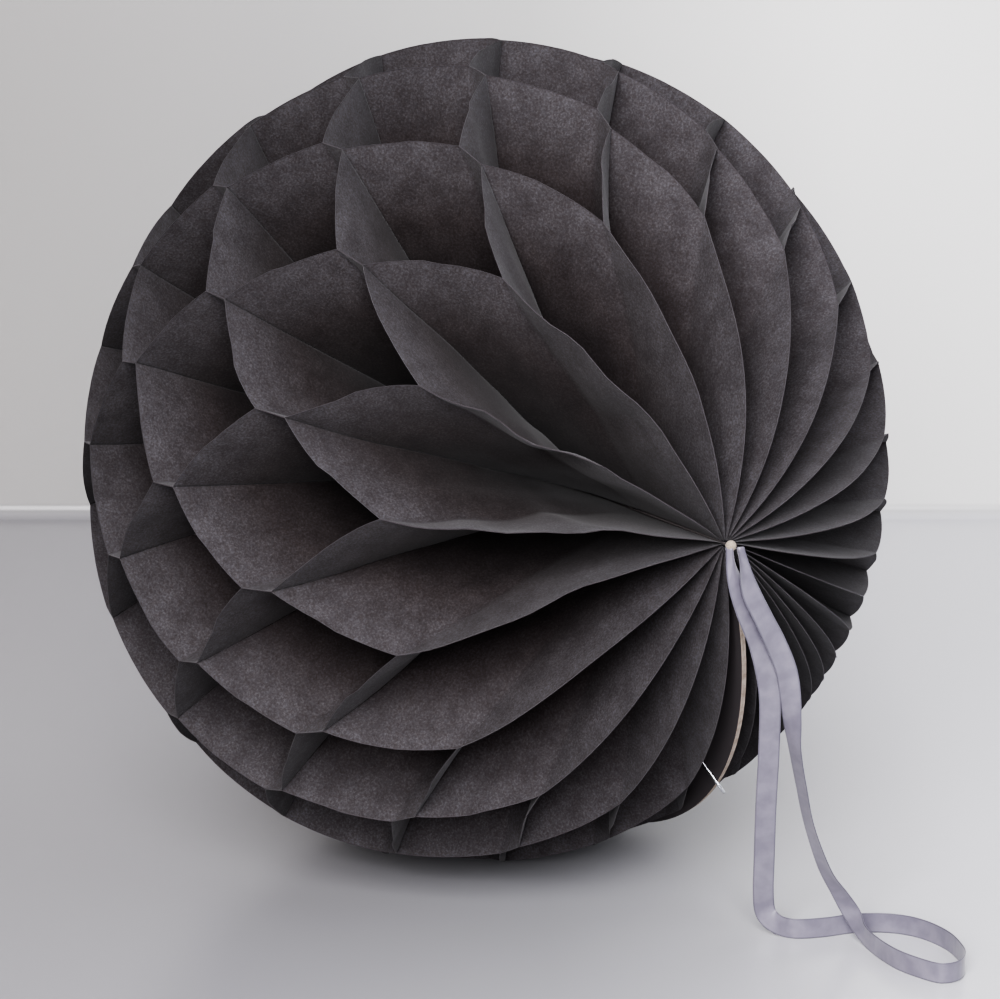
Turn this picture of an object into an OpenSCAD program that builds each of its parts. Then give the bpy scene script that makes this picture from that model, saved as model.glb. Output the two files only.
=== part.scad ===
// Paper honeycomb ball with two card covers, a thread spine, a wire clip and a ribbon loop.
// Millimetres, +Z up. The ball stands on Z = 0 and its spine lies along Y.

/* [Ball] */
// Diameter of the open ball across its pleats
ball_diameter = 250; // [200:5:320]
// Number of tissue sheets between the two covers
sheet_count = 48; // [24:2:48]
// Thickness of one tissue sheet's solid
sheet_thickness = 0.1; // [0.05:0.05:0.15]
// Clear distance from the spine's axis to each sheet's inner edge
core_radius = 20; // [16:1:30]
// How far the rims are pressed flat where the ball stands
rest_flat = 3; // [0:0.5:4]

/* [Pleat spacing] */
// Angle of the seam past straight down
seam_angle = 17; // [0:1:40]
// How much tighter the pleats are on one side of the ball than on the other
side_tightness = 0.69; // [0:0.01:0.7]
// Where round the ball the tight side is, as a share of the sheets
tight_side = 0.216; // [0:0.001:1]
// How much the pleats open up beside the tight side
side_opening = 0.117; // [0:0.001:0.2]
// Where that opening is, as a share of the sheets
opening_side = 0.081; // [0:0.001:0.5]

/* [Covers] */
// Thickness of one card cover
card_thickness = 0.8; // [0.4:0.05:0.9]
// How far a cover's rim stays inside the tissue's rim
card_inset = 1; // [0.5:0.5:5]
// Gap between the two covers where they meet
seam_gap = 0.1; // [0.05:0.05:0.3]
// Angle that the stacked tissue keeps between the covers when the ball is folded up
folded_angle = 34; // [30:1:60]

/* [Spine thread] */
// Diameter of the thread that the pieces turn on
thread_diameter = 0.8; // [0.6:0.1:2]
// Gap between the thread and a folded cover's inner edge
thread_clearance = 0.4; // [0.2:0.1:1]
// Diameter of the knot at each end of the thread
knot_diameter = 3; // [2:0.5:8]

/* [Paper clip] */
// Diameter of the clip's wire
clip_wire = 1; // [0.8:0.05:1.2]
// How far the clip's outer loop reaches over a cover
clip_reach = 23; // [16:1:30]
// Width of the outer loop between wire centres
clip_width = 6; // [4:0.5:8]
// Width of the inner loop between wire centres
clip_inner_width = 4; // [3:0.5:5]
// Gap between a wire and the cover under it
clip_clearance = 0.05; // [0.02:0.01:0.2]
// Angle of the clip along the rim, from the ribbon's pole
clip_angle = 45; // [30:1:80]

/* [Ribbon] */
// Width of the ribbon
ribbon_width = 6; // [4:0.5:10]
// Thickness of the ribbon's solid
ribbon_thickness = 0.6; // [0.4:0.1:1]

/* [Hidden] */
$fn = 180;
ball_radius = ball_diameter / 2;
card_radius = ball_radius - card_inset;
centre_height = ball_radius - rest_flat;
spine_length = 2 * ball_radius + knot_diameter / 2;
// The covers start far enough out to miss each other when the ball is folded up.
cover_inner_edge = thread_diameter / 2 + thread_clearance
    + (seam_gap / 2 + card_thickness) / tan(folded_angle / 2);
clip_lift = seam_gap / 2 + card_thickness + clip_clearance + clip_wire / 2;
clip_inner_reach = clip_reach - 4;
clip_inner_y = (clip_inner_width - clip_width + clip_wire) / 2;
wire_sides = 12;
bend_step = 20;
// The clip's wire: an outer loop over one cover, a bend past both rims, an inner loop over the other.
// Its rims' edge is at X = 0, Y runs along the rim and Z is across the covers.
clip_route = concat(
    [[-clip_reach / 3, -clip_width / 2, clip_lift]],
    loop_bend([clip_width / 2 - clip_reach, 0, clip_lift], [0, -clip_width / 2, 0], [-1, 0, 0]),
    loop_bend(
        [0, (clip_width / 2 + clip_inner_y - clip_inner_width / 2) / 2, 0],
        [0, (clip_width / 2 - clip_inner_y + clip_inner_width / 2) / 2, clip_lift],
        [1, 0, 0]),
    loop_bend(
        [clip_inner_width / 2 - clip_inner_reach, clip_inner_y, -clip_lift],
        [0, -clip_inner_width / 2, 0],
        [-1, 0, 0]),
    [[-clip_reach / 3, clip_inner_y + clip_inner_width / 2, -clip_lift]]);
ribbon_sides = 8;
// The ribbon's route: centre point, then the direction its width points in.
// It leaves the knot, hangs to the table, lies on its edge in a loop and comes back up.
ribbon_route = [
    [[-0.5, -127, 122], [1, 0, 0]],
    [[0, -127.8, 114], [1, 0, 0]],
    [[3.5, -128, 104], [1, 0, 0]],
    [[9, -127.5, 93], [1, -0.2, 0]],
    [[14, -126, 78], [0.9, -0.5, 0]],
    [[17, -122.5, 60], [0.9, -0.5, 0]],
    [[19.5, -118.5, 42], [0.9, -0.5, 0]],
    [[22, -115, 24], [0.9, -0.5, 0]],
    [[23.5, -113, 13], [0.8, -0.5, 0.1]],
    [[25, -112.5, 6.5], [0.7, -0.5, 0.6]],
    [[27, -115.5, 3.6], [0.2, -0.2, 1]],
    [[30, -120, 3.2], [0, 0, 1]],
    [[37.5, -123.5, 3.2], [0, 0, 1]],
    [[47, -126, 3.2], [0, 0, 1]],
    [[55.5, -131.5, 3.2], [0, 0, 1]],
    [[60, -139.5, 3.2], [0, 0, 1]],
    [[60.5, -150, 3.2], [0, 0, 1]],
    [[57.5, -159.5, 3.2], [0, 0, 1]],
    [[54, -165, 3.2], [0, 0, 1]],
    [[49, -168, 3.2], [0, 0, 1]],
    [[44, -167, 3.2], [0, 0, 1]],
    [[41.5, -161.5, 3.2], [0, 0, 1]],
    [[40, -152, 3.2], [0, 0, 1]],
    [[41.5, -140.5, 3.2], [0, 0, 1]],
    [[43, -133.5, 4.2], [0, -0.3, 1]],
    [[43, -129, 8], [0.3, -0.7, 0.7]],
    [[40, -127, 14], [0.5, -0.8, 0.2]],
    [[35.5, -125.5, 22], [0.5, -0.8, 0]],
    [[30, -125, 36], [0.5, -0.8, 0]],
    [[26.5, -125.5, 48], [0.5, -0.8, 0]],
    [[22.5, -127, 61], [0.5, -0.8, 0]],
    [[20.5, -128, 70], [0.7, -0.7, 0]],
    [[17.5, -129.5, 83], [0.9, -0.4, 0]],
    [[13.5, -130, 92], [1, -0.2, 0]],
    [[8.5, -130, 101], [1, 0, 0]],
    [[3.5, -129.2, 111], [1, 0, 0]],
    [[0.5, -128, 122], [1, 0, 0]]];

function sheet_name(number) = str("sheet_", number < 10 ? "0" : "", number);

// The pleats' spacing swells and shrinks once round the ball, and a little more twice round it.
function turn_share(share) = share
    - side_tightness * sin(360 * (share - tight_side)) / (2 * PI)
    - side_opening * sin(720 * (share - opening_side)) / (4 * PI);

// Angle of the plane a given share of the way from the front cover to the back cover.
function plane_angle(share) = seam_angle + 360 * (turn_share(share) - turn_share(0));

function unit(v) = v / norm(v);

// Half a turn of wire about a centre, from one arm to its opposite, bulging the way given.
function loop_bend(centre, arm, bulge) =
    [for (angle = [0 : bend_step : 180]) centre + arm * cos(angle) + bulge * norm(arm) * sin(angle)];

// Direction of the route at one of its points, from the points either side of it.
function route_way(i) =
    unit(ribbon_route[min(i + 1, len(ribbon_route) - 1)][0] - ribbon_route[max(i - 1, 0)][0]);

// The corners of the ribbon's flat eight-sided section at one of the route's points.
function ribbon_ring(i) =
    let (
        way = route_way(i),
        face = unit(cross(way, ribbon_route[i][1])),
        across = cross(face, way))
    [for (side = [0 : ribbon_sides - 1])
        let (angle = 360 * (side + 0.5) / ribbon_sides)
        ribbon_route[i][0]
            + across * ribbon_width / 2 * cos(angle) / cos(180 / ribbon_sides)
            + face * ribbon_thickness / 2 * sin(angle) / cos(180 / ribbon_sides)];

// The corners of the clip's round wire at one of its route's points.
function wire_ring(i) =
    let (
        way = unit(clip_route[min(i + 1, len(clip_route) - 1)] - clip_route[max(i - 1, 0)]),
        side = unit(cross(way, [0, 0, 1])),
        up = cross(side, way))
    [for (n = [0 : wire_sides - 1])
        let (angle = 360 * n / wire_sides)
        clip_route[i] + (side * cos(angle) + up * sin(angle)) * clip_wire / 2];

// One closed skin through rings of corners, each ring with the same number of corners.
module swept(rings) {
    count = len(rings);
    sides = len(rings[0]);
    skin = [for (i = [0 : count - 2], s = [0 : sides - 1], half = [0, 1])
        let (
            a = i * sides + s,
            b = i * sides + (s + 1) % sides)
        half == 0 ? [a, b, b + sides] : [a, b + sides, a + sides]];
    first_end = [[for (s = [0 : sides - 1]) sides - 1 - s]];
    last_end = [[for (s = [0 : sides - 1]) (count - 1) * sides + s]];
    polyhedron(points = [for (ring = rings) each ring], faces = concat(skin, first_end, last_end));
}

// Stands a piece drawn in the XY plane, spine along Y, at an angle round the spine.
module round_spine(angle) {
    translate([0, 0, centre_height])
        rotate([0, 90 - angle, 0])
            children();
}

// A flat half disc with its straight edge a given distance from the spine.
module half_disc(radius, inner, thickness) {
    intersection() {
        cylinder(r = radius, h = thickness);
        translate([inner, -radius - 1, -1])
            cube([radius, 2 * radius + 2, thickness + 2]);
    }
}

// Space under the surface that the ball stands on.
module under_table() {
    translate([-ball_radius, -ball_radius, -10])
        cube([2 * ball_radius, 2 * ball_radius, 10]);
}

module tissue_sheet(number) {
    color("#4b474a")
        difference() {
            round_spine(plane_angle((number - 0.5) / sheet_count))
                translate([0, 0, -sheet_thickness / 2])
                    half_disc(ball_radius, core_radius, sheet_thickness);
            under_table();
        }
}

module card_cover(offset) {
    color("#9a8f83")
        round_spine(seam_angle)
            translate([0, 0, offset])
                half_disc(card_radius, cover_inner_edge, card_thickness);
}

module front_cover() {
    card_cover(seam_gap / 2);
}

module back_cover() {
    card_cover(-seam_gap / 2 - card_thickness);
}

module along_spine(length) {
    translate([0, 0, centre_height])
        rotate([90, 0, 0])
            cylinder(d = thread_diameter, h = length, center = true);
}

module spine_thread() {
    color("#3d3634")
        along_spine(spine_length);
}

// A round knot that the thread ends in, on the pole at the given end of the spine.
module knot(side) {
    color("#e6dfcf")
        difference() {
            translate([0, side * (ball_radius + knot_diameter / 4), centre_height])
                sphere(d = knot_diameter);
            along_spine(spine_length);
        }
}

module ribbon_knot() {
    knot(-1);
}

module far_knot() {
    knot(1);
}

module paper_clip() {
    color("#c8cacc")
        round_spine(seam_angle)
            rotate([0, 0, clip_angle - 90])
                translate([card_radius, 0, 0])
                    swept([for (i = [0 : len(clip_route) - 1]) wire_ring(i)]);
}

module ribbon_loop() {
    color("#b7b1c4")
        swept([for (i = [0 : len(ribbon_route) - 1]) ribbon_ring(i)]);
}

front_cover();
back_cover();
for (number = [1 : sheet_count])
    tissue_sheet(number);
spine_thread();
ribbon_knot();
far_knot();
paper_clip();
ribbon_loop();
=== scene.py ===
import bpy
import numpy as np
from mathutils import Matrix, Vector


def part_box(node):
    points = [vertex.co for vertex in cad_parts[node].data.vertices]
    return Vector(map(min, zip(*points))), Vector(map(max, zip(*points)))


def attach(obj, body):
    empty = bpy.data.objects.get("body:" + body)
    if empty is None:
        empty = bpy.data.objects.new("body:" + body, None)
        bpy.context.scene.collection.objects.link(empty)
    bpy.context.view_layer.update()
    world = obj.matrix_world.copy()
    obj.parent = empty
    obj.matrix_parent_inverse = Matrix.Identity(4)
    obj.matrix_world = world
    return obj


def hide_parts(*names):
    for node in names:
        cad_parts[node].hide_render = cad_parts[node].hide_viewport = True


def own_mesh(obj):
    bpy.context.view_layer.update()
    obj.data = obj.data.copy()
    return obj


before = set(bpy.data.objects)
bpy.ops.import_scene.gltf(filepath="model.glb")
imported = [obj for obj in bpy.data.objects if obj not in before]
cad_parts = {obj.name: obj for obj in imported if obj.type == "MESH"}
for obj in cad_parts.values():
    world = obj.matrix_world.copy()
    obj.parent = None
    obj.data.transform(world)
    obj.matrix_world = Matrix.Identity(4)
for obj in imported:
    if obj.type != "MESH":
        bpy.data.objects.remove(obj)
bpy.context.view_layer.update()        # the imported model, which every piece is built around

mm = 0.001
spineLow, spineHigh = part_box("spine_thread")
spine = np.array([0.0, 0.0, (spineLow.z + spineHigh.z) / 2])  # the spine lies along Y through this point

ball = {
    "radius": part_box("sheet_24")[1].y,
    "sheets": sum(name.startswith("sheet_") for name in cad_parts),
    "seamAngle": 17,          # degrees past straight down
    "tightness": (0.69, 0.216),   # how much the pleats bunch up, and where, as a share of the turn
    "opening": (0.117, 0.081),
    "foldedPitch": 0.59,      # degrees that one sheet takes in the folded stack
    "foldedStart": 2.9,       # degrees from the cover to the first sheet in the folded stack
}


# Materials

def linearColour(hexColour):  # sRGB hex to linear RGBA
    parts = np.array([int(hexColour[i:i + 2], 16) / 255 for i in (1, 3, 5)])
    parts = np.where(parts <= 0.04045, parts / 12.92, ((parts + 0.055) / 1.055) ** 2.4)
    return (*parts.tolist(), 1.0)


def addNode(tree, kind, settings=None, links=None):  # adds one node with its settings and links
    node = tree.nodes.new(kind)
    for name, value in (settings or {}).items():
        if hasattr(node, name):
            setattr(node, name, value)
        else:
            node.inputs[name].default_value = value
    for name, socket in (links or {}).items():
        tree.links.new(socket, node.inputs[name])
    return node


def startMaterial(name):
    material = bpy.data.materials.new(name)
    material.use_nodes = True
    tree = material.node_tree
    tree.nodes.clear()
    return material, tree


def colourRamp(tree, factor, stops):  # stops are (place, hex colour)
    ramp = addNode(tree, "ShaderNodeValToRGB", links={"Fac": factor})
    elements = ramp.color_ramp.elements
    while len(elements) < len(stops):
        elements.new(0.5)
    for element, (place, colour) in zip(elements, stops):
        element.position = place
        element.color = linearColour(colour)
    return ramp


# Dyed tissue paper, calendered: dull, slightly see-through, cloudy where the fibres lie thicker. Its
# colour is darkened towards the middle of the ball as painted shade, for the light that the layers keep out.
tissueLook = {
    "cloud": 7 * mm,
    "fibre": 1.1 * mm,
    "grain": 0.6 * mm,
    "through": 0.22,      # how much light passes through the paper
    # shares of the ball's radius, then the painted shade there: how open the tissue is to light, 1 for
    # unshaded
    "paintedShadeOpenness": ([0.3, 0.6, 0.78, 0.9, 1.0], [0.12, 0.25, 0.52, 0.86, 1.0]),
}


def tissuePaper():
    material, tree = startMaterial("dyed_tissue_paper")
    place = addNode(tree, "ShaderNodeTexCoord").outputs["Object"]
    cloud = addNode(tree, "ShaderNodeTexNoise",
                    {"Scale": 1 / tissueLook["cloud"], "Detail": 3.0}, {"Vector": place})
    grain = addNode(tree, "ShaderNodeTexNoise",
                    {"Scale": 1 / tissueLook["grain"], "Detail": 4.0, "Roughness": 0.65}, {"Vector": place})
    fibre = addNode(tree, "ShaderNodeTexNoise",
                    {"Scale": 1 / tissueLook["fibre"], "Detail": 2.0, "Distortion": 1.5}, {"Vector": place})
    grainColour = colourRamp(tree, grain.outputs["Fac"],
                             [(0.25, "#302d2d"), (0.5, "#4e4b4d"), (0.76, "#767579")])
    fibreColour = colourRamp(tree, fibre.outputs["Fac"], [(0.35, "#453f3e"), (0.65, "#5a595d")])
    mixed = addNode(tree, "ShaderNodeMix", {"data_type": "RGBA", "Factor": 0.4},
                    {6: grainColour.outputs["Color"], 7: fibreColour.outputs["Color"]})
    cloudColour = colourRamp(tree, cloud.outputs["Fac"], [(0.3, "#d9d6d6"), (0.7, "#ffffff")])
    toned = addNode(tree, "ShaderNodeMix", {"data_type": "RGBA", "blend_type": "MULTIPLY", "Factor": 1.0},
                    {6: mixed.outputs[2], 7: cloudColour.outputs["Color"]})
    rim = addNode(tree, "ShaderNodeAttribute", {"attribute_name": "cutEdge"})
    # Painted shade: the tissue's colour darkens towards the middle of the ball.
    paintedShadeLevel = addNode(tree, "ShaderNodeAttribute", {"attribute_name": "paintedShadeOpenness"})
    paintedShadeColour = colourRamp(tree, paintedShadeLevel.outputs["Fac"],
                             [(0.1, "#54453f"), (0.6, "#c6bcb8"), (1.0, "#ffffff")])
    paintedShadeMix = addNode(tree, "ShaderNodeMix", {"data_type": "RGBA", "blend_type": "MULTIPLY", "Factor": 1.0},
                   {6: toned.outputs[2], 7: paintedShadeColour.outputs["Color"]})
    # The cut edge is painted lighter: partly the fibres showing at the cut, partly a painted highlight where
    # the edge catches the light.
    edged = addNode(tree, "ShaderNodeMix", {"data_type": "RGBA"},
                    {"Factor": rim.outputs["Fac"], 6: paintedShadeMix.outputs[2]})
    edged.inputs[7].default_value = linearColour("#544f52")
    bump = addNode(tree, "ShaderNodeBump",
                   {"Strength": 0.35, "Distance": 0.05 * mm}, {"Height": grain.outputs["Fac"]})
    front = addNode(tree, "ShaderNodeBsdfPrincipled",
                    {"Roughness": 0.82, "IOR": 1.45, "Specular IOR Level": 0.28,
                     "Sheen Weight": 0.12, "Sheen Roughness": 0.5},
                    {"Base Color": edged.outputs[2], "Normal": bump.outputs["Normal"]})
    through = addNode(tree, "ShaderNodeBsdfTranslucent",
                      {"Color": linearColour("#5c4036")}, {"Normal": bump.outputs["Normal"]})
    both = addNode(tree, "ShaderNodeMixShader", {"Fac": tissueLook["through"]})
    tree.links.new(front.outputs["BSDF"], both.inputs[1])
    tree.links.new(through.outputs["BSDF"], both.inputs[2])
    addNode(tree, "ShaderNodeOutputMaterial", links={"Surface": both.outputs["Shader"]})
    return material


# Grey chipboard, pressed from waste paper: matt, flecked with light and dark fibres. Its inner face is
# pasted over with tissue, so beyond a certain distance from the seam's plane the board takes the tissue's
# colour.
def greyChipboard():
    material, tree = startMaterial("grey_chipboard")
    place = addNode(tree, "ShaderNodeTexCoord").outputs["Object"]
    seam = np.radians(ball["seamAngle"])
    fromSpine = addNode(tree, "ShaderNodeVectorMath", {"operation": "SUBTRACT"}, {0: place})
    fromSpine.inputs[1].default_value = spine.tolist()
    aside = addNode(tree, "ShaderNodeVectorMath",
                    {"operation": "DOT_PRODUCT"}, {0: fromSpine.outputs["Vector"]})
    aside.inputs[1].default_value = (np.cos(seam), 0, np.sin(seam))
    depth = addNode(tree, "ShaderNodeMath", {"operation": "ABSOLUTE"}, {0: aside.outputs["Value"]})
    pasted = addNode(tree, "ShaderNodeMapRange",
                     {"From Min": 0.76 * mm, "From Max": 0.82 * mm}, {"Value": depth.outputs[0]})
    pulp = addNode(tree, "ShaderNodeTexNoise", {"Scale": 1 / (2.5 * mm), "Detail": 5.0}, {"Vector": place})
    fleck = addNode(tree, "ShaderNodeTexNoise",
                    {"Scale": 1 / (0.7 * mm), "Detail": 3.0, "Distortion": 2.0}, {"Vector": place})
    base = colourRamp(tree, pulp.outputs["Fac"], [(0.35, "#9a8d80"), (0.65, "#b0a498")])
    flecks = colourRamp(tree, fleck.outputs["Fac"],
                        [(0.3, "#7d7065"), (0.42, "#ffffff"), (0.62, "#ffffff"), (0.75, "#e9e2d8")])
    colour = addNode(tree, "ShaderNodeMix", {"data_type": "RGBA", "blend_type": "MULTIPLY", "Factor": 0.7},
                     {6: base.outputs["Color"], 7: flecks.outputs["Color"]})
    bump = addNode(tree, "ShaderNodeBump",
                   {"Strength": 0.4, "Distance": 0.08 * mm}, {"Height": fleck.outputs["Fac"]})
    covered = addNode(tree, "ShaderNodeMix", {"data_type": "RGBA"},
                      {"Factor": pasted.outputs["Result"], 6: colour.outputs[2]})
    covered.inputs[7].default_value = linearColour("#3f3b3c")
    board = addNode(tree, "ShaderNodeBsdfPrincipled", {"Roughness": 0.88, "Specular IOR Level": 0.25},
                    {"Base Color": covered.outputs[2], "Normal": bump.outputs["Normal"]})
    addNode(tree, "ShaderNodeOutputMaterial", links={"Surface": board.outputs["BSDF"]})
    return material


# Woven satin ribbon: fine crosswise ribs and a tighter selvage, which give a soft sheen along its length.
def satinRibbon():
    ribSpacing = 0.35 * mm
    material, tree = startMaterial("lilac_satin_ribbon")
    place = addNode(tree, "ShaderNodeUVMap", {"uv_map": "ribbonMap"}).outputs["UV"]
    parts = addNode(tree, "ShaderNodeSeparateXYZ", links={"Vector": place})
    ribs = addNode(tree, "ShaderNodeTexWave",
                   {"Scale": 1 / (20 * ribSpacing), "bands_direction": "Y", "Distortion": 0.6, "Detail": 2.0},
                   {"Vector": place})
    # Painted sheen: the base colour is lighter and darker in patches about 5 mm across.
    paintedSheenNoise = addNode(tree, "ShaderNodeTexNoise",
                         {"Scale": 1 / (5 * mm), "Detail": 3.0}, {"Vector": place})
    base = colourRamp(tree, paintedSheenNoise.outputs["Fac"], [(0.35, "#6b6774"), (0.65, "#7a7682")])
    fromMiddle = addNode(tree, "ShaderNodeMath", {"operation": "ABSOLUTE"}, {0: parts.outputs["X"]})
    selvage = addNode(tree, "ShaderNodeMapRange",
                      {"From Min": 2.55 * mm, "From Max": 2.75 * mm}, {"Value": fromMiddle.outputs[0]})
    colour = addNode(tree, "ShaderNodeMix", {"data_type": "RGBA"},
                     {"Factor": selvage.outputs["Result"], 6: base.outputs["Color"]})
    colour.inputs[7].default_value = linearColour("#5c5965")
    bump = addNode(tree, "ShaderNodeBump",
                   {"Strength": 0.3, "Distance": 0.03 * mm}, {"Height": ribs.outputs["Fac"]})
    weave = addNode(tree, "ShaderNodeBsdfPrincipled",
                    {"Roughness": 0.34, "Sheen Weight": 0.3, "Sheen Roughness": 0.4,
                     "Anisotropic": 0.6, "Specular IOR Level": 0.75},
                    {"Base Color": colour.outputs[2], "Normal": bump.outputs["Normal"]})
    addNode(tree, "ShaderNodeOutputMaterial", links={"Surface": weave.outputs["BSDF"]})
    return material


# Twisted cotton thread: matt, with mottled fuzz. The knots are undyed, the spine is waxed dark.
def cottonThread(name, dark, light):
    material, tree = startMaterial(name)
    place = addNode(tree, "ShaderNodeTexCoord").outputs["Object"]
    fuzz = addNode(tree, "ShaderNodeTexNoise", {"Scale": 1 / (0.25 * mm), "Detail": 4.0}, {"Vector": place})
    colour = colourRamp(tree, fuzz.outputs["Fac"], [(0.3, dark), (0.7, light)])
    bump = addNode(tree, "ShaderNodeBump",
                   {"Strength": 0.5, "Distance": 0.05 * mm}, {"Height": fuzz.outputs["Fac"]})
    cotton = addNode(tree, "ShaderNodeBsdfPrincipled", {"Roughness": 0.9, "Sheen Weight": 0.2},
                     {"Base Color": colour.outputs["Color"], "Normal": bump.outputs["Normal"]})
    addNode(tree, "ShaderNodeOutputMaterial", links={"Surface": cotton.outputs["BSDF"]})
    return material


# Nickel-plated steel wire, drawn and bright: mirror-like with patches of scuffing.
def platedWire():
    material, tree = startMaterial("nickel_plated_wire")
    place = addNode(tree, "ShaderNodeTexCoord").outputs["Object"]
    scuff = addNode(tree, "ShaderNodeTexNoise", {"Scale": 1 / (1.5 * mm), "Detail": 5.0}, {"Vector": place})
    rough = addNode(tree, "ShaderNodeMapRange",
                    {"To Min": 0.16, "To Max": 0.34}, {"Value": scuff.outputs["Fac"]})
    colour = colourRamp(tree, scuff.outputs["Fac"], [(0.3, "#c9ccd0"), (0.7, "#e4e6e8")])
    steel = addNode(tree, "ShaderNodeBsdfPrincipled", {"Metallic": 1.0},
                    {"Base Color": colour.outputs["Color"], "Roughness": rough.outputs["Result"]})
    addNode(tree, "ShaderNodeOutputMaterial", links={"Surface": steel.outputs["BSDF"]})
    return material


tissue = tissuePaper()
card = greyChipboard()
satin = satinRibbon()
cotton = cottonThread("undyed_cotton_thread", "#84786a", "#a99d8b")
wire = platedWire()
waxedCotton = cottonThread("waxed_cotton_thread", "#292423", "#3d3634")
print("materials made")


# Mesh helpers

def makePiece(name, points, faces, material):
    mesh = bpy.data.meshes.new(name)
    mesh.from_pydata(points.reshape(-1, 3), [], faces)
    mesh.polygons.foreach_set("use_smooth", np.full(len(mesh.polygons), True))
    mesh.materials.append(material)
    piece = bpy.data.objects.new(name, mesh)
    bpy.context.scene.collection.objects.link(piece)
    return piece


# Quads between neighbouring rows and columns of a grid of points, row by row.
def gridQuads(rows, columns, wrap=False, first=0):
    i = np.arange(rows - 1)[:, None]
    j = np.arange(columns if wrap else columns - 1)[None, :]
    after = (j + 1) % columns
    row = i * columns
    quads = np.stack([row + j, row + after, row + columns + after, row + columns + j], axis=-1)
    return first + quads.reshape(-1, 4)


# A thin closed shell: the grid pushed half a thickness each way along its normals, with quads round its
# border.
def thinShell(grid, thickness):
    along = np.gradient(grid, axis=0)
    across = np.gradient(grid, axis=1)
    normal = np.cross(along, across)
    normal /= np.maximum(np.linalg.norm(normal, axis=2, keepdims=True), 1e-12)
    half = normal * thickness[..., None] / 2
    rows, columns = grid.shape[:2]
    count = rows * columns
    index = np.arange(count).reshape(rows, columns)
    border = np.concatenate([index[0, :-1], index[:-1, -1], index[-1, :0:-1], index[:0:-1, 0]])
    nextOne = np.roll(border, -1)
    sides = np.stack([border, nextOne, nextOne + count, border + count], axis=1)
    front = gridQuads(rows, columns)
    back = gridQuads(rows, columns, first=count)[:, ::-1]
    points = np.concatenate([(grid + half).reshape(-1, 3), (grid - half).reshape(-1, 3)])
    return points, np.concatenate([front, back, sides])


# A tube or strip: the profile's offsets carried along the path on two directions, with flat ends.
def sweptProfile(path, across, face, profile):
    points = path[:, None] + across[:, None] * profile[..., :1] + face[:, None] * profile[..., 1:]
    rings, sides = points.shape[:2]
    faces = gridQuads(rings, sides, wrap=True).tolist()
    faces += [list(range(sides))[::-1], [(rings - 1) * sides + s for s in range(sides)]]
    return points, faces


def flipped(points, faces):  # turns the faces over if the closed mesh is inside out
    corners = points.reshape(-1, 3)
    firstThree = np.array([face[:3] for face in faces])
    a, b, c = (corners[firstThree[:, n]] - corners.mean(axis=0) for n in range(3))
    volume = (a * np.cross(b, c)).sum()
    return [list(face)[::-1] for face in faces] if volume < 0 else faces


def unit(vectors):
    return vectors / np.maximum(np.linalg.norm(vectors, axis=-1, keepdims=True), 1e-12)


# A smooth curve through points: each stretch is a cubic whose end slopes come from the neighbours on both
# sides.
def smoothCurve(points, steps):
    points = np.asarray(points, float)
    padded = np.concatenate([2 * points[:1] - points[1:2], points, 2 * points[-1:] - points[-2:-1]])
    p0, p1, p2, p3 = (padded[i:len(points) - 1 + i, None] for i in range(4))
    t = (np.arange(steps) / steps)[None, :, None]
    curve = 0.5 * (2 * p1 + (p2 - p0) * t + (2 * p0 - 5 * p1 + 4 * p2 - p3) * t ** 2
                   + (3 * p1 - p0 - 3 * p2 + p3) * t ** 3)
    return np.concatenate([curve.reshape(-1, points.shape[1]), points[-1:]])


# Camera and stage

cameraSet = {
    "azimuth": -32.63, "elevation": 13.99, "distance": 1.0,
    "lens": 119.9, "shift": (0.0208, -0.0486),
}
azimuth, elevation = np.radians([cameraSet["azimuth"], cameraSet["elevation"]])
back = np.array([np.sin(azimuth) * np.cos(elevation),
                 -np.cos(azimuth) * np.cos(elevation),
                 np.sin(elevation)])
cameraData = bpy.data.cameras.new("camera")
camera = bpy.data.objects.new("camera", cameraData)
bpy.context.scene.collection.objects.link(camera)
cameraData.lens = cameraSet["lens"]
cameraData.shift_x, cameraData.shift_y = cameraSet["shift"]
camera.location = Vector(spine + back * cameraSet["distance"])
camera.rotation_euler = Vector(-back).to_track_quat("-Z", "Y").to_euler()
bpy.context.scene.camera = camera


# Ribbon

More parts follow.
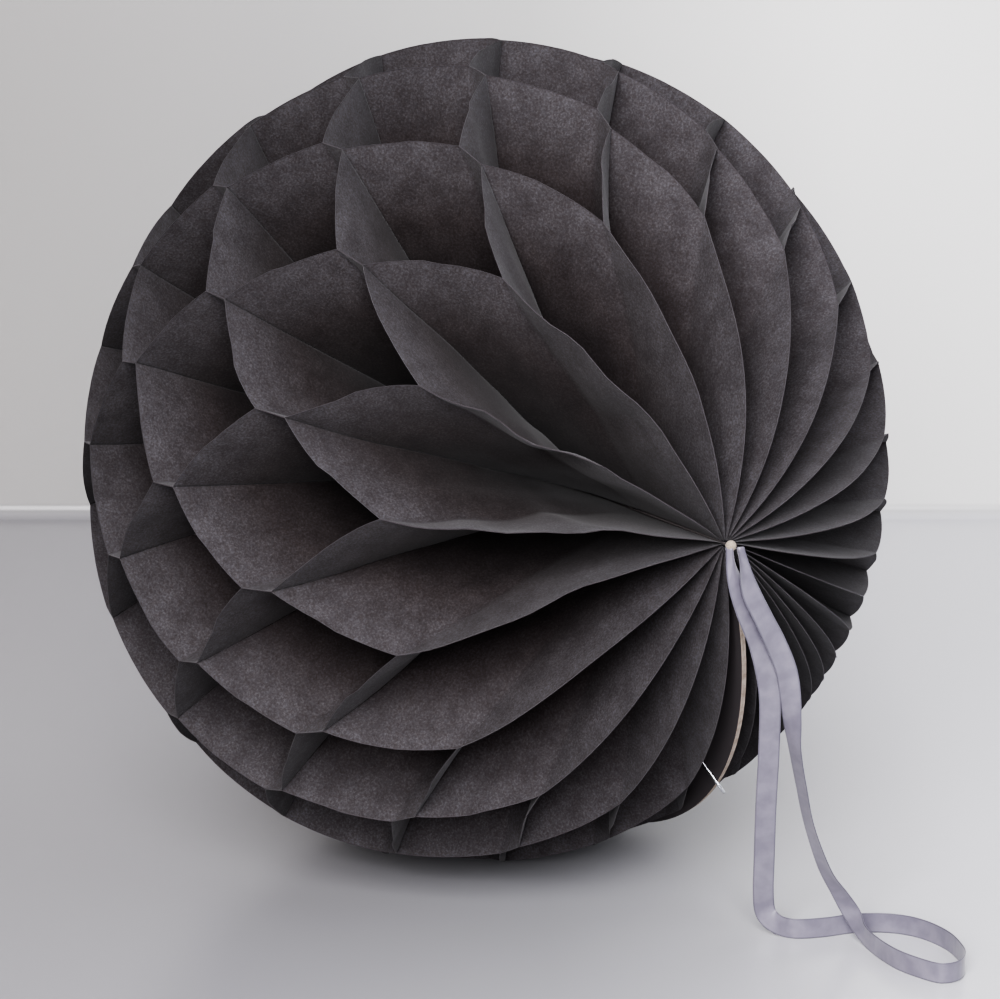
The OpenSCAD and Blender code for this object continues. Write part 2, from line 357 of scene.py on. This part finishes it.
# Route of the ribbon in millimetres: centre point, then the direction its width points in.
ribbonRoute = [
    ((-0.5, -127, 122), (1, 0, 0)), ((0, -127.8, 114), (1, 0, 0)), ((3.5, -128, 104), (1, 0, 0)),
    ((9, -127.5, 93), (1, -0.2, 0)), ((14, -126, 78), (0.9, -0.5, 0)), ((17, -122.5, 60), (0.9, -0.5, 0)),
    ((19.5, -118.5, 42), (0.9, -0.5, 0)), ((22, -115, 24), (0.9, -0.5, 0)),
    ((23.5, -113, 13), (0.8, -0.5, 0.1)),
    ((25, -112.5, 6.5), (0.7, -0.5, 0.6)), ((27, -115.5, 3.6), (0.2, -0.2, 1)), ((30, -120, 3.2), (0, 0, 1)),
    ((37.5, -123.5, 3.2), (0, 0, 1)), ((47, -126, 3.2), (0, 0, 1)), ((55.5, -131.5, 3.2), (0, 0, 1)),
    ((60, -139.5, 3.2), (0, 0, 1)), ((60.5, -150, 3.2), (0, 0, 1)), ((57.5, -159.5, 3.2), (0, 0, 1)),
    ((54, -165, 3.2), (0, 0, 1)), ((49, -168, 3.2), (0, 0, 1)), ((44, -167, 3.2), (0, 0, 1)),
    ((41.5, -161.5, 3.2), (0, 0, 1)), ((40, -152, 3.2), (0, 0, 1)), ((41.5, -140.5, 3.2), (0, 0, 1)),
    ((43, -133.5, 4.2), (0, -0.3, 1)), ((43, -129, 8), (0.3, -0.7, 0.7)), ((40, -127, 14), (0.3, -0.9, 0.2)),
    ((35.5, -125.5, 22), (0.1, -1, 0)), ((30, -125, 36), (-0.1, -1, 0)), ((26.5, -125.5, 48), (-0.1, -1, 0)),
    ((22.5, -127, 61), (0, -1, 0)), ((20.5, -128, 70), (0.4, -0.9, 0)), ((17.5, -129.5, 83), (0.9, -0.4, 0)),
    ((13.5, -130, 92), (1, -0.2, 0)), ((8.5, -130, 101), (1, 0, 0)), ((3.5, -129.2, 111), (1, 0, 0)),
    ((0.5, -128, 122), (1, 0, 0)),
]
ribbonSet = {"width": 6 * mm, "thickness": 0.22 * mm, "pinch": 0.36, "pinchLength": 15 * mm, "steps": 10}


def makeRibbon():
    centres = smoothCurve([np.array(point) * mm for point, _ in ribbonRoute], ribbonSet["steps"])
    widths = unit(smoothCurve([unit(np.array(way, float)) for _, way in ribbonRoute], ribbonSet["steps"]))
    way = unit(np.gradient(centres, axis=0))
    face = unit(np.cross(way, widths))
    across = np.cross(face, way)
    gone = np.concatenate([[0], np.cumsum(np.linalg.norm(np.diff(centres, axis=0), axis=1))])
    fromEnd = np.minimum(gone, gone[-1] - gone) / ribbonSet["pinchLength"]
    ease = np.clip(fromEnd, 0, 1) ** 2 * (3 - 2 * np.clip(fromEnd, 0, 1))
    narrow = ribbonSet["pinch"] + (1 - ribbonSet["pinch"]) * ease
    half = ribbonSet["width"] / 2
    thick = ribbonSet["thickness"] / 2
    side = np.array([-1, -0.97, -0.86, -0.6, -0.3, 0, 0.3, 0.6, 0.86, 0.97, 1])
    lift = thick * np.array([0.5, 1.2, 1, 1, 1, 1, 1, 1, 1, 1.2, 0.5])
    x = np.concatenate([side, side[::-1]]) * half
    y = np.concatenate([lift, -lift[::-1]])
    cup = (1 - narrow[:, None]) * 1.6 + 0.04  # a pinched ribbon curls into a channel
    profile = np.stack([x[None] * narrow[:, None], y[None] - cup * (x[None] ** 2 / half) * 0.5], axis=-1)
    points, faces = sweptProfile(centres, across, face, profile)
    faces = flipped(points, faces)
    piece = makePiece("satin_ribbon", points, faces, satin)
    uv = np.stack([np.broadcast_to(x, profile.shape[:2]),
                   np.broadcast_to(gone[:, None], profile.shape[:2])], axis=-1).reshape(-1, 2)
    corners = np.zeros(len(piece.data.loops), np.int32)
    piece.data.loops.foreach_get("vertex_index", corners)
    piece.data.uv_layers.new(name="ribbonMap").data.foreach_set("uv", uv[corners].ravel())
    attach(piece, "front_cover")
    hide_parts("ribbon_loop")
    return gone[-1]


print("ribbon made,", round(makeRibbon(), 4), "m long")


# Tissue sheets

# Shares of the ball's radius, and one measure of how the pleats pull in.
pleats = {
    "phase": 0.103,        # height of the middle between two rings of glue, towards the ribbon's pole
    "strip": 0.064,        # width of a strip of glue
    "free": 0.199,         # loose tissue between strips
    "pull": 0.635,         # how far the loose tissue leans as its neighbours part
    "rings": [2.5, 1.5, 0.5, -0.5, -1.5, -2.5, -3.5],
    "polarSteps": 16,
    "stripSteps": 4,
    "outSteps": 34,
    "innerRadius": 1.0 * mm,
    "cutEdgeWidth": 0.35 * mm,
    "tableGap": 0.05 * mm,    # the tissue is pressed flat this far above the table
    "thickness": 0.11 * mm,
    "fullThicknessAt": 12 * mm,
    "thinnest": 0.08,         # share of the thickness that is left near the spine
    "glueGap": 0.02 * mm,
    "coverFace": 0.88 * mm,   # from the seam's plane to a cover's inner face, with a hair of room
    "coverEdge": 3.6 * mm,
    "swirl": 5.0,             # degrees that the tissue swings round near the ribbon's pole, on the open side
    "swirlPeak": (9.0, 273, 26),  # degrees more, then where round the ball, and how wide
    "crumple": 0.3,           # how far handling has bent the tissue near that pole, as a share of the gap
    "crumpleAt": (225, 42),   # where round the ball that is strongest, and how wide
    "unevenness": 0.07,       # the same everywhere else
    "bulge": 0.05,            # how far the loose tissue bellies out, as a share of the way across
}


# Share of the turn passed at a share of the sheets: a straight run, with a wave once round and a smaller
# one twice round.
def turnShare(share):
    tight, tightAt = ball["tightness"]
    opening, openingAt = ball["opening"]
    return (share - tight * np.sin(2 * np.pi * (share - tightAt)) / (2 * np.pi)
            - opening * np.sin(4 * np.pi * (share - openingAt)) / (4 * np.pi))


def planeTurn(number):  # degrees from the seam to a plane between two sheets
    return 360 * (turnShare(number / ball["sheets"]) - turnShare(0))


def planeGap(number):  # local angle between neighbouring planes, in radians
    return np.radians(planeTurn(number + 0.5) - planeTurn(number - 0.5))


# Flat places along a sheet, from the ribbon's pole to the far one, as shares of the radius: even steps of
# angle over the poles, a few steps over each strip of glue, and steps that crowd towards the creases on
# loose tissue.
def placesAlong():
    pitch = pleats["strip"] + pleats["free"]
    middles = pleats["phase"] + np.array(pleats["rings"]) * pitch
    half = pleats["strip"] / 2
    loose = np.array([0, 0.025, 0.07, 0.16, 0.3, 0.43, 0.57, 0.7, 0.84, 0.93, 0.975])
    strip = np.arange(pleats["stripSteps"]) / pleats["stripSteps"]
    firstAngle = np.arccos(middles[0] + half)
    lastAngle = np.arccos(-(middles[-1] - half))
    steps = np.arange(pleats["polarSteps"]) / pleats["polarSteps"]
    closest = np.radians(1.2)
    pieces = [np.cos(closest + (firstAngle - closest) * steps)]
    for number, middle in enumerate(middles):
        pieces.append(middle + half - pleats["strip"] * strip)
        if number < len(middles) - 1:
            pieces.append(middle - half - pleats["free"] * loose)
    pieces.append(-np.cos(lastAngle - (lastAngle - closest) * np.append(steps, 1)))
    return np.concatenate(pieces)


flatPlaces = placesAlong()
rimRadii = np.sqrt(1 - flatPlaces ** 2)


# How far a plane is bent aside at each point, in radians: a swing that grows towards the ribbon's pole,
# slow waves of its own, and sharper ones where hands have bent the petals.
def planeBend(number, out, height):
    turn = planeTurn(number)
    free = np.sin(np.radians(turn) / 2) ** 2
    fromPole = np.degrees(np.arctan2(out, height))
    reach = np.clip(np.hypot(out, height) / ball["radius"], 0, 1)
    nearPole = 1 / (1 + np.exp((fromPole - 24) / 5))
    most, peakAt, peakWidth = pleats["swirlPeak"]
    swing = np.radians(pleats["swirl"] * free + most * np.exp(-((turn - peakAt) / peakWidth) ** 2))
    crumpleAt, crumpleWidth = pleats["crumpleAt"]
    handled = np.exp(-((turn - crumpleAt) / crumpleWidth) ** 2) * np.exp(-((fromPole - 22) / 14) ** 2)
    a, b, c = (np.sin(number * step) * 3.1 for step in (2.399, 4.7, 7.93))
    slow = (np.sin(fromPole / 7.5 + a * 2) * 0.5
            + np.sin(fromPole / 3.6 + reach * 3 + b * 2) * 0.3
            + np.sin(reach * 9 + c * 2) * 0.35)
    sharp = (np.abs(np.sin(fromPole / 5.2 + reach * 6 + b)) - 0.6
             + np.sin(fromPole / 1.9 - reach * 11 + a) * 0.25)
    bend = planeGap(number) * (pleats["unevenness"] * np.minimum(1, 3 * free) * slow
                               + pleats["crumple"] * handled * sharp)
    return (-swing * nearPole + bend) * reach ** 2


# Angle of a plane at each distance from the spine: the covers' thickness takes some of the turn near the
# spine, and the rest is shared out among the planes, each with its own bend.
def planeAngles(number, out, height):
    lost = np.arctan2(pleats["coverFace"], np.maximum(out, pleats["coverEdge"]))
    turn = np.radians(planeTurn(number))
    return np.radians(ball["seamAngle"]) + lost + turn * (1 - lost / np.pi) + planeBend(number, out, height)


# Mid-surface of one sheet. Each point has a flat place along the spine and a distance out from it. On a
# strip of glue the sheet lies against the plane that it shares with one neighbour, and between strips it
# crosses to the other. The loose tissue leans over, so the strips are drawn together, more so further
# out.
def sheetSurface(number):
    pitch = pleats["strip"] + pleats["free"]
    outward = np.append(np.linspace(0, 1, pleats["outSteps"] - 1), 1.0)
    rim = rimRadii[:, None] * ball["radius"]
    inner = np.minimum(pleats["innerRadius"], rim * 0.6)
    out = inner + (rim - inner) * outward
    out[:, -2] = out[:, -1] - np.minimum(pleats["cutEdgeWidth"], 0.2 * (rim - inner)[:, 0])
    flat = np.broadcast_to(flatPlaces[:, None], out.shape)
    ring = np.clip(np.round((flat - pleats["phase"]) / pitch - 0.5) + 0.5, -3.5, 2.5)
    fromRing = flat - (pleats["phase"] + ring * pitch)
    past = np.clip((np.abs(fromRing) - pleats["strip"] / 2) / pleats["free"], 0, None)  # share of the way
    polar = ((ring == 2.5) & (fromRing > 0)) | ((ring == -3.5) & (fromRing < 0))
    crossing = np.where(polar, 0, past)
    onOddPlane = np.round(ring - 0.5) % 2 == 0  # rings at 2.5, 0.5, -1.5 and -3.5
    lowIsOdd = (number - 1) % 2 == 1
    start = np.where(onOddPlane == lowIsOdd, 0.0, 1.0)
    share = np.where(start == 0, crossing, 1 - crossing)
    gap = planeGap(number - 1) * (1 - share) + planeGap(number) * share
    lean = np.sqrt(pleats["free"] ** 2 - (pleats["pull"] * gap * out / ball["radius"]) ** 2)
    height = (pleats["phase"] + ring * (pleats["strip"] + lean)
              + np.sign(fromRing) * (np.minimum(np.abs(fromRing), pleats["strip"] / 2)
                                     + np.where(polar, past * pleats["free"], past * lean))) * ball["radius"]
    low = planeAngles(number - 1, out, height)
    high = planeAngles(number, out, height)
    belly = (np.sin(number * 5.3 + np.round(ring * 2) * 1.9) * 0.6
             + np.sin(out / ball["radius"] * 7 + number * 3.7) * 0.5)
    angle = low + (high - low) * (share + pleats["bulge"] * belly * 4 * share * (1 - share))
    thinning = np.clip(out / pleats["fullThicknessAt"], pleats["thinnest"], 1)
    thickness = pleats["thickness"] * thinning
    aside = (thickness / 2 + pleats["glueGap"] * thinning) * (1 - 2 * share)
    points = spine + np.stack([out * np.sin(angle) + aside * np.cos(angle), -height,
                               -out * np.cos(angle) + aside * np.sin(angle)], axis=-1)
    return points, thickness


def addAttribute(piece, name, values):  # one value for each point, the same on both faces of the sheet
    attribute = piece.data.attributes.new(name, "FLOAT", "POINT")
    attribute.data.foreach_set("value", np.tile(values.ravel(), 2))


def makeSheet(number):
    name = f"sheet_{number:02d}"
    surface, thickness = sheetSurface(number)
    points, faces = thinShell(surface, thickness)
    points[:, 2] = np.maximum(points[:, 2], pleats["tableGap"])
    piece = makePiece(f"tissue_{number:02d}", points, faces, tissue)
    edge = np.zeros(surface.shape[:2], np.float32)
    edge[:, -1] = 1.0
    addAttribute(piece, "cutEdge", edge)
    # Painted shade: how far the tissue's colour is darkened towards the middle of the ball.
    fromCentre = np.linalg.norm(surface - spine, axis=2) / ball["radius"]
    paintedShadeOpenness = np.interp(fromCentre, *tissueLook["paintedShadeOpenness"]).astype(np.float32)
    addAttribute(piece, "paintedShadeOpenness", paintedShadeOpenness)
    body = {1: "front_cover", ball["sheets"]: "back_cover"}.get(number, name)
    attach(piece, body)
    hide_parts(name)
    flattenWithFold(piece)


# Each sheet gets its own copy of its mesh; pressing it down to its place in the stack as the ball folds up
# is not done here. Nothing here keeps neighbours apart, and when fully folded they cross each other.
def flattenWithFold(piece):
    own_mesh(piece)


for sheetNumber in range(1, ball["sheets"] + 1):
    makeSheet(sheetNumber)
print("tissue sheets made")


# CAD pieces that keep their shape

finishes = {"front_cover": card, "back_cover": card, "spine_thread": waxedCotton, "ribbon_knot": cotton,
            "far_knot": cotton, "paper_clip": wire}
for nodeName, finish in finishes.items():
    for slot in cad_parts[nodeName].material_slots:
        slot.material = finish
print("card, thread, knots and clip finished")


# Stage

stageSet = {
    "tableDepth": 0.37, "bend": 0.006, "height": 1.6, "width": 4.0, "front": 1.6,
    # painted light and shade: darker to the left of the view, lighter to the right
    "paintedFalloff": [(0.0, "#93918e"), (0.3, "#a3a2a0"), (0.55, "#b6b6b3"), (0.85, "#e4e4e0")],
    # multiplied in, from the table up to the wall: the table is tinted cooler, and a darker dip over the bend
    # is painted shade
    "tintAndBendShade": [(0.0, "#dddde4"), (0.45, "#d2d2d4"), (0.8, "#eaeaeb"), (1.0, "#ffffff")],
}


# A sheet of board that lies flat as the table and curves up behind as the wall: a straight run, a quarter
# circle and a straight run.
def makeStage():
    ahead = np.array([-back[0], -back[1], 0.0]) / np.hypot(back[0], back[1])
    side = np.array([ahead[1], -ahead[0], 0.0])
    bend = np.linspace(0, np.pi / 2, 24)
    radius = stageSet["bend"]
    depth = np.concatenate([[-stageSet["front"]],
                            stageSet["tableDepth"] + radius * np.sin(bend),
                            [stageSet["tableDepth"] + radius]])
    height = np.concatenate([[0], radius * (1 - np.cos(bend)), [stageSet["height"]]])
    line = ahead * depth[:, None] + np.array([0, 0, 1.0]) * height[:, None]
    grid = line[:, None] + side * (np.linspace(-1, 1, 3) * stageSet["width"] / 2)[None, :, None]
    material, tree = startMaterial("lacquered_board")
    place = addNode(tree, "ShaderNodeTexCoord").outputs["Object"]
    across = addNode(tree, "ShaderNodeVectorMath", {"operation": "DOT_PRODUCT"}, {0: place})
    across.inputs[1].default_value = side.tolist()
    above = addNode(tree, "ShaderNodeSeparateXYZ", links={"Vector": place}).outputs["Z"]
    share = addNode(tree, "ShaderNodeMapRange",
                    {"From Min": -0.3, "From Max": 0.3, "interpolation_type": "SMOOTHSTEP"},
                    {"Value": across.outputs["Value"]})
    # Painted light and shade: the board is darker to the left of the view and lighter to the right.
    paintedFalloff = colourRamp(tree, share.outputs["Result"], stageSet["paintedFalloff"])
    upBend = addNode(tree, "ShaderNodeMapRange",
                     {"From Min": 0.0, "From Max": radius}, {"Value": above})
    # Painted shade over the bend, where the board curves up into the wall.
    tintAndBendShade = colourRamp(tree, upBend.outputs["Result"], stageSet["tintAndBendShade"])
    colour = addNode(tree, "ShaderNodeMix", {"data_type": "RGBA", "blend_type": "MULTIPLY", "Factor": 1.0},
                     {6: paintedFalloff.outputs["Color"], 7: tintAndBendShade.outputs["Color"]})
    board = addNode(tree, "ShaderNodeBsdfPrincipled",
                    {"Roughness": 0.28, "Specular IOR Level": 0.5}, {"Base Color": colour.outputs[2]})
    addNode(tree, "ShaderNodeOutputMaterial", links={"Surface": board.outputs["BSDF"]})
    piece = makePiece("stage", grid, gridQuads(*grid.shape[:2])[:, ::-1].tolist(), material)


def addLight(name, place, target, size, power, colour):
    data = bpy.data.lights.new(name, "AREA")
    data.shape = "RECTANGLE"
    data.size, data.size_y = size
    data.energy = power
    data.color = linearColour(colour)[:3]
    light = bpy.data.objects.new(name, data)
    light.location = Vector(place)
    light.rotation_euler = (Vector(target) - Vector(place)).to_track_quat("-Z", "Y").to_euler()
    bpy.context.scene.collection.objects.link(light)


makeStage()
centre = tuple(spine)
addLight("room", (-0.98, -1.15, 0.95), centre, (1.2, 1.2), 60, "#fbf9fd")
addLight("window", (0.5, -1.27, 1.0), centre, (0.9, 0.9), 4, "#eef1ff")
addLight("low_window", (1.15, -0.62, 0.35), centre, (0.6, 0.6), 1.5, "#f2f3ff")
addLight("ceiling", (0.0, 0.0, 1.5), centre, (1.6, 1.6), 15, "#f6f6ff")
addLight("far_side", (-1.23, 0.31, 0.8), centre, (1.0, 1.0), 3, "#fff1e6")
world = bpy.data.worlds.new("room")
world.use_nodes = True
background = world.node_tree.nodes["Background"]
background.inputs["Color"].default_value = linearColour("#dfe2e8")
background.inputs["Strength"].default_value = 0.06
bpy.context.scene.view_settings.look = "AgX - High Contrast"
bpy.context.scene.world = world
print("stage and lights set")
